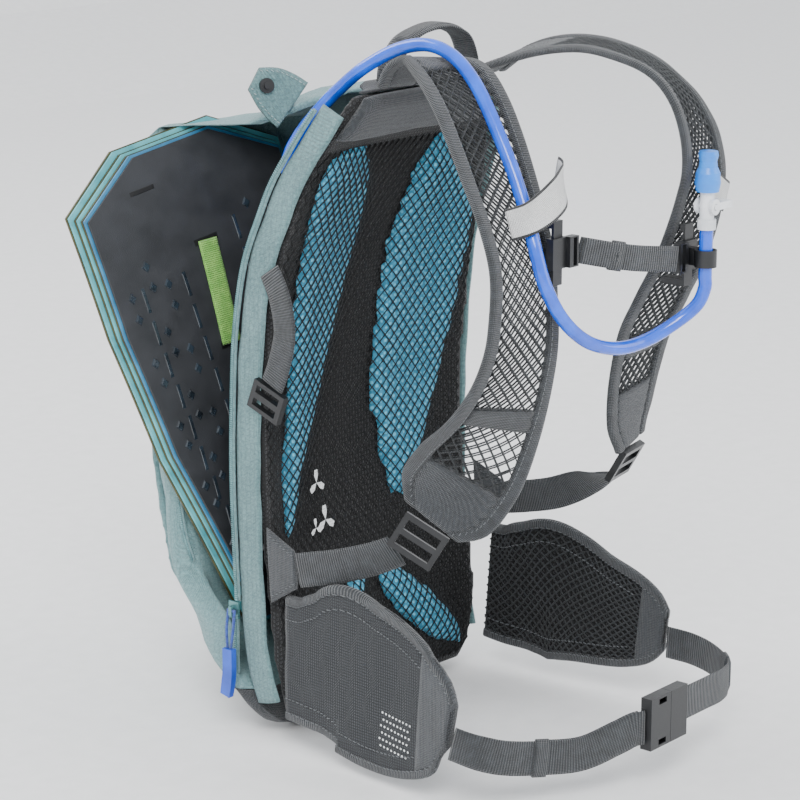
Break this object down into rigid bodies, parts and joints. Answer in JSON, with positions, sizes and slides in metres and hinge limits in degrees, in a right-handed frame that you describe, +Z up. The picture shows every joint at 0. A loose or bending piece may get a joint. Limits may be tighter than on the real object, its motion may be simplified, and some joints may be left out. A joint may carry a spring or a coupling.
{
  "type": "hydration backpack",
  "caption": "Riding backpack with drinking hose, hip wings and a removable back protector leaning out of its opened side sleeve.",
  "frame": {"origin": "middle of the pack's flat underside, where it stands", "axes": "+Z up, +Y away from the wearer towards the front pocket, +X towards the closed side; the opened side faces -X"},
  "size_m": [0.3157, 0.4539, 0.5193],
  "materials": {
    "teal_ripstop": "light ripstop weave",
    "charcoal_fabric": "plain weave",
    "black_mesh": "open net",
    "aqua_foam": "soft foam",
    "charcoal_mesh": "spacer mesh",
    "webbing": "ribbed webbing",
    "black_plastic": "moulded",
    "protector_black": "satin foam board",
    "protector_aqua": "matt",
    "protector_olive": "matt",
    "green_webbing": "soft webbing",
    "white_band": "smooth woven band",
    "zip_teal": "coil zip",
    "zip_metal": "enamel",
    "cord_blue": "braided cord",
    "grip_blue": "moulded",
    "hose_blue": "glossy",
    "reservoir_film": "clear film",
    "cap_blue": "moulded",
    "valve_white": "moulded",
    "bite_blue": "soft silicone"
  },
  "bodies": {
    "pack": {"main_bag": "teal_ripstop", "base_boot": "charcoal_fabric", "back_panel": "charcoal_fabric", "pad_upper_left": "aqua_foam", "pad_upper_right": "aqua_foam", "pad_lower_left": "aqua_foam", "pad_lower_right": "aqua_foam", "back_net": "black_mesh", "yoke_pad": "charcoal_mesh", "top_cover": "charcoal_fabric", "side_strip_left": "teal_ripstop", "side_strip_right": "teal_ripstop", "front_pocket": "teal_ripstop", "pocket_zip": "black_plastic", "zip_chain_strip": "zip_teal", "zip_chain_bag": "zip_teal", "zip_chain_closed": "zip_teal", "reservoir": "reservoir_film", "quick_link": "cap_blue", "hose_inner": "hose_blue", "hose_port": "black_plastic", "drinking_hose": "hose_blue", "valve_body": "valve_white", "bite_valve": "bite_blue", "shoulder_strap_left": "charcoal_mesh", "shoulder_strap_right": "charcoal_mesh", "strap_rail_left": "black_plastic", "strap_rail_right": "black_plastic", "strap_loop_left": "white_band", "strap_loop_right": "white_band", "lower_webbing_left": "webbing", "lower_webbing_right": "webbing", "corner_tab_left": "charcoal_fabric", "corner_tab_right": "charcoal_fabric", "compression_strap_left": "webbing", "compression_buckle_left": "black_plastic", "carry_handle": "webbing", "hip_wing_left": "charcoal_mesh", "hip_wing_right": "charcoal_mesh", "belt_webbing_left": "webbing", "belt_webbing_right": "webbing", "buckle_socket": "black_plastic"},
    "protector": {"protector_rear": "protector_olive", "protector_middle": "protector_aqua", "protector_face": "protector_black", "protector_loop": "green_webbing"},
    "zip_runner": {"zip_slider": "zip_metal"},
    "zip_pull": {"zip_pull_cord": "cord_blue", "zip_pull_grip": "grip_blue"},
    "valve_lever": {"shutoff_lever": "valve_white"},
    "chest_strap": {"sternum_strap": "webbing", "sternum_slider_left": "black_plastic", "sternum_slider_right": "black_plastic"},
    "plug": {"buckle_plug": "black_plastic"},
    "lock_left": {"ladder_lock_left": "black_plastic"},
    "lock_right": {"ladder_lock_right": "black_plastic"},
    "flap": {"top_flap": "teal_ripstop", "flap_snap": "black_plastic"},
    "pocket_runner": {"pocket_zip_slider": "black_plastic"},
    "screw_cap": {"reservoir_cap": "cap_blue"}
  },
  "joints": [
    {"name": "protector_swing", "type": "hinge", "parent": "pack", "child": "protector", "pos_m": [-0.032, 0.009, 0.074], "axis": [0.2052, 0.9662, -0.1562], "range_deg": [-1, 4]},
    {"name": "zip_slide", "type": "slide", "parent": "pack", "child": "zip_runner", "axis": [0, 0, 1], "range_m": [-0.036, 0]},
    {"name": "zip_pull_swing", "type": "hinge", "parent": "zip_runner", "child": "zip_pull", "pos_m": [-0.12375, 0.0026, 0.097], "axis": [0, 1, 0], "range_deg": [0, 110]},
    {"name": "shutoff_turn", "type": "hinge", "parent": "pack", "child": "valve_lever", "pos_m": [0.057, -0.281, 0.40435], "axis": [0, 1, 0], "range_deg": [-15, 45]},
    {"name": "sternum_height", "type": "slide", "parent": "pack", "child": "chest_strap", "axis": [0, 0, 1], "range_m": [-0.006, 0.006]},
    {"name": "belt_release", "type": "slide", "parent": "pack", "child": "plug", "axis": [1, 0, 0], "range_m": [0, 0.03]},
    {"name": "lock_tilt_left", "type": "hinge", "parent": "pack", "child": "lock_left", "pos_m": [-0.0928, -0.1607, 0.1888], "axis": [0.3709, -0.7818, -0.5012], "range_deg": [-20, 0]},
    {"name": "lock_tilt_right", "type": "hinge", "parent": "pack", "child": "lock_right", "pos_m": [0.1013, -0.1927, 0.2076], "axis": [0.9794, 0.2019, 0], "range_deg": [-20, 0]},
    {"name": "top_flap_fold", "type": "hinge", "parent": "pack", "child": "flap", "pos_m": [-0.0545, 0.0005, 0.4605], "axis": [0.7994, -0.3056, 0.5173], "range_deg": [0, 60]},
    {"name": "pocket_zip_slide", "type": "slide", "parent": "pack", "child": "pocket_runner", "axis": [0, 0, 1], "range_m": [-0.11, 0]},
    {"name": "cap_turn", "type": "hinge", "parent": "pack", "child": "screw_cap", "pos_m": [0, 0.0854, 0.312], "axis": [0.1908, 0.9816, 0], "range_deg": [0, 90]}
  ]
}
